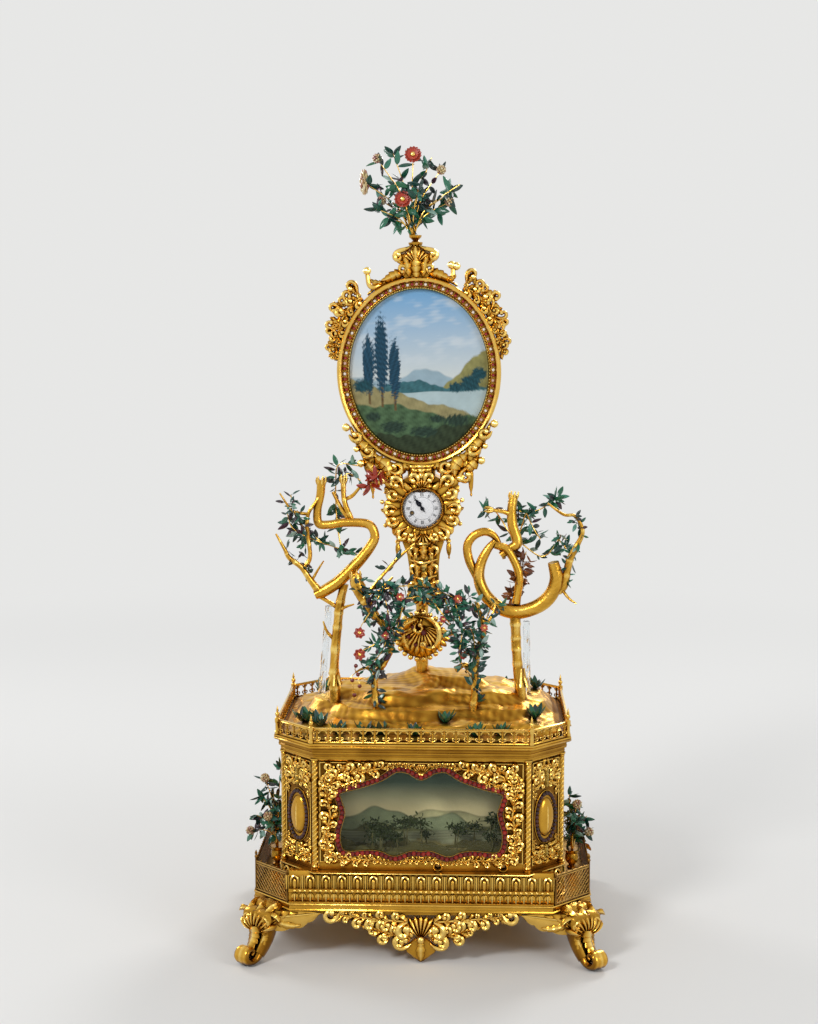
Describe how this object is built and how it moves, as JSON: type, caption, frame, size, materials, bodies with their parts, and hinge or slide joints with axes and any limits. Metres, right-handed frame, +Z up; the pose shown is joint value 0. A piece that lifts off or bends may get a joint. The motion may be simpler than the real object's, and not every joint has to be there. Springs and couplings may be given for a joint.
{
  "type": "automaton table clock",
  "caption": "Gilt bronze automaton table clock: footed cabinet with a window scene, gallery and rocky mound with jewelled trees, clock and oval picture above on a post, flowers on top.",
  "frame": {"origin": "on the ground under the middle of the feet", "axes": "+Z up, -Y towards the front (dial and window), +X to the right as the front is seen"},
  "size_m": [0.3987, 0.3072, 0.8661],
  "materials": {
    "gilt": "fire-gilt bronze, satin with bright edges",
    "flat_gilt": "duller gilt",
    "movement_brass": "lacquered brass",
    "blued_steel": "blued",
    "enamel": "white enamel with painted marks",
    "red_stone": "foiled red paste",
    "paste_stone": "red and clear paste in turn",
    "leaf_glass": "coloured glass leaves on gilt wire",
    "clear_glass": "polished",
    "picture": "painted landscape",
    "scenery": "painted cut-out"
  },
  "bodies": {
    "clock": {"foot_front_left": "gilt", "foot_front_right": "gilt", "foot_back_left": "gilt", "foot_back_right": "gilt", "apron_front": "gilt", "apron_back": "gilt", "apron_left": "gilt", "apron_right": "gilt", "plinth": "gilt", "cabinet_case": "gilt", "window_frame": "gilt", "corner_panel_front_left": "gilt", "corner_panel_front_right": "gilt", "corner_panel_back_left": "gilt", "corner_panel_back_right": "gilt", "platform": "gilt", "gallery": "gilt", "mound": "gilt", "tree_left": "gilt", "tree_right": "gilt", "front_tree_left": "gilt", "front_tree_right": "gilt", "support_column": "gilt", "clock_case": "gilt", "case_ornament": "gilt", "oval_frame": "gilt", "frame_scrollwork": "gilt", "lower_gallery_left": "flat_gilt", "lower_gallery_right": "flat_gilt", "clock_movement_frame": "movement_brass", "base_movement_frame": "movement_brass", "bell_stack": "movement_brass", "dial": "enamel", "window_stone_border": "red_stone", "stone_ring": "paste_stone", "leaves_left": "leaf_glass", "leaves_right": "leaf_glass", "leaves_centre": "leaf_glass", "top_bouquet": "leaf_glass", "side_bouquet_left": "leaf_glass", "side_bouquet_right": "leaf_glass", "window_glass": "clear_glass", "painting_panel": "picture", "scene_backdrop": "picture", "scene_trees": "scenery"},
    "minute_hand": {"minute_hand": "blued_steel"},
    "hour_hand": {"hour_hand": "blued_steel"},
    "pendulum": {"pendulum": "gilt"},
    "bezel": {"dial_bezel": "gilt", "dial_glass": "clear_glass"},
    "back_cover": {"back_cover": "movement_brass"},
    "rear_door": {"rear_door": "gilt"},
    "door_knob": {"rear_door_knob": "gilt"},
    "clock_barrel": {"clock_barrel": "movement_brass"},
    "escape_wheel": {"escape_wheel": "movement_brass"},
    "music_cylinder": {"music_cylinder": "movement_brass"},
    "music_barrel": {"music_barrel": "movement_brass"},
    "automaton_barrel": {"automaton_barrel": "movement_brass"},
    "rod_left": {"glass_rod_left": "clear_glass"},
    "rod_right": {"glass_rod_right": "clear_glass"}
  },
  "joints": [
    {"name": "minute_hand_turn", "type": "hinge", "parent": "clock", "child": "minute_hand", "pos_m": [-0.00219, 0, 0.47458], "axis": [0, 1, 0], "continuous": true},
    {"name": "hour_hand_turn", "type": "hinge", "parent": "clock", "child": "hour_hand", "pos_m": [-0.00219, 0, 0.47458], "axis": [0, 1, 0], "continuous": true},
    {"name": "pendulum_swing", "type": "hinge", "parent": "clock", "child": "pendulum", "pos_m": [-0.0046, -0.005, 0.4466], "axis": [0, 1, 0], "range_deg": [-5, 5]},
    {"name": "bezel_hinge", "type": "hinge", "parent": "clock", "child": "bezel", "pos_m": [0.0242, -0.0214, 0.47531], "axis": [-0.0279, 0, 0.9996], "range_deg": [0, 110]},
    {"name": "back_cover_hinge", "type": "hinge", "parent": "clock", "child": "back_cover", "pos_m": [0.0348, 0.0164, 0.47561], "axis": [0.0279, 0, -0.9996], "range_deg": [0, 100]},
    {"name": "rear_door_hinge", "type": "hinge", "parent": "clock", "child": "rear_door", "pos_m": [0.0757, 0.1209, 0.159], "axis": [0, 0, -1], "range_deg": [0, 110]},
    {"name": "door_knob_turn", "type": "hinge", "parent": "rear_door", "child": "door_knob", "pos_m": [-0.064, 0.1183, 0.159], "axis": [0, 1, 0], "range_deg": [0, 90]},
    {"name": "clock_barrel_turn", "type": "hinge", "parent": "clock", "child": "clock_barrel", "pos_m": [-0.01335, 0, 0.46966], "axis": [0, 1, 0], "continuous": true},
    {"name": "escape_wheel_turn", "type": "hinge", "parent": "clock", "child": "escape_wheel", "pos_m": [0.00807, 0, 0.48336], "axis": [0, 1, 0], "continuous": true},
    {"name": "music_cylinder_turn", "type": "hinge", "parent": "clock", "child": "music_cylinder", "pos_m": [0.05, 0.028, 0.1], "axis": [1, 0, 0], "continuous": true},
    {"name": "music_barrel_turn", "type": "hinge", "parent": "clock", "child": "music_barrel", "pos_m": [0.0177, -0.035, 0.1024], "axis": [0, 1, 0], "continuous": true},
    {"name": "automaton_barrel_turn", "type": "hinge", "parent": "clock", "child": "automaton_barrel", "pos_m": [0.0873, -0.035, 0.1024], "axis": [0, 1, 0], "continuous": true},
    {"name": "rod_left_turn", "type": "hinge", "parent": "clock", "child": "rod_left", "pos_m": [-0.1152, 0, 0.269], "axis": [0.09, 0, 0.9959], "continuous": true},
    {"name": "rod_right_turn", "type": "hinge", "parent": "clock", "child": "rod_right", "pos_m": [0.1146, 0, 0.272], "axis": [-0.0162, 0, 0.9999], "continuous": true}
  ],
  "couplings": [
    {"joint": "hour_hand_turn", "follows": "minute_hand_turn", "ratio": 0.083333},
    {"joint": "music_barrel_turn", "follows": "music_cylinder_turn", "ratio": -0.2},
    {"joint": "rod_left_turn", "follows": "automaton_barrel_turn", "ratio": 6},
    {"joint": "rod_right_turn", "follows": "automaton_barrel_turn", "ratio": 6}
  ]
}
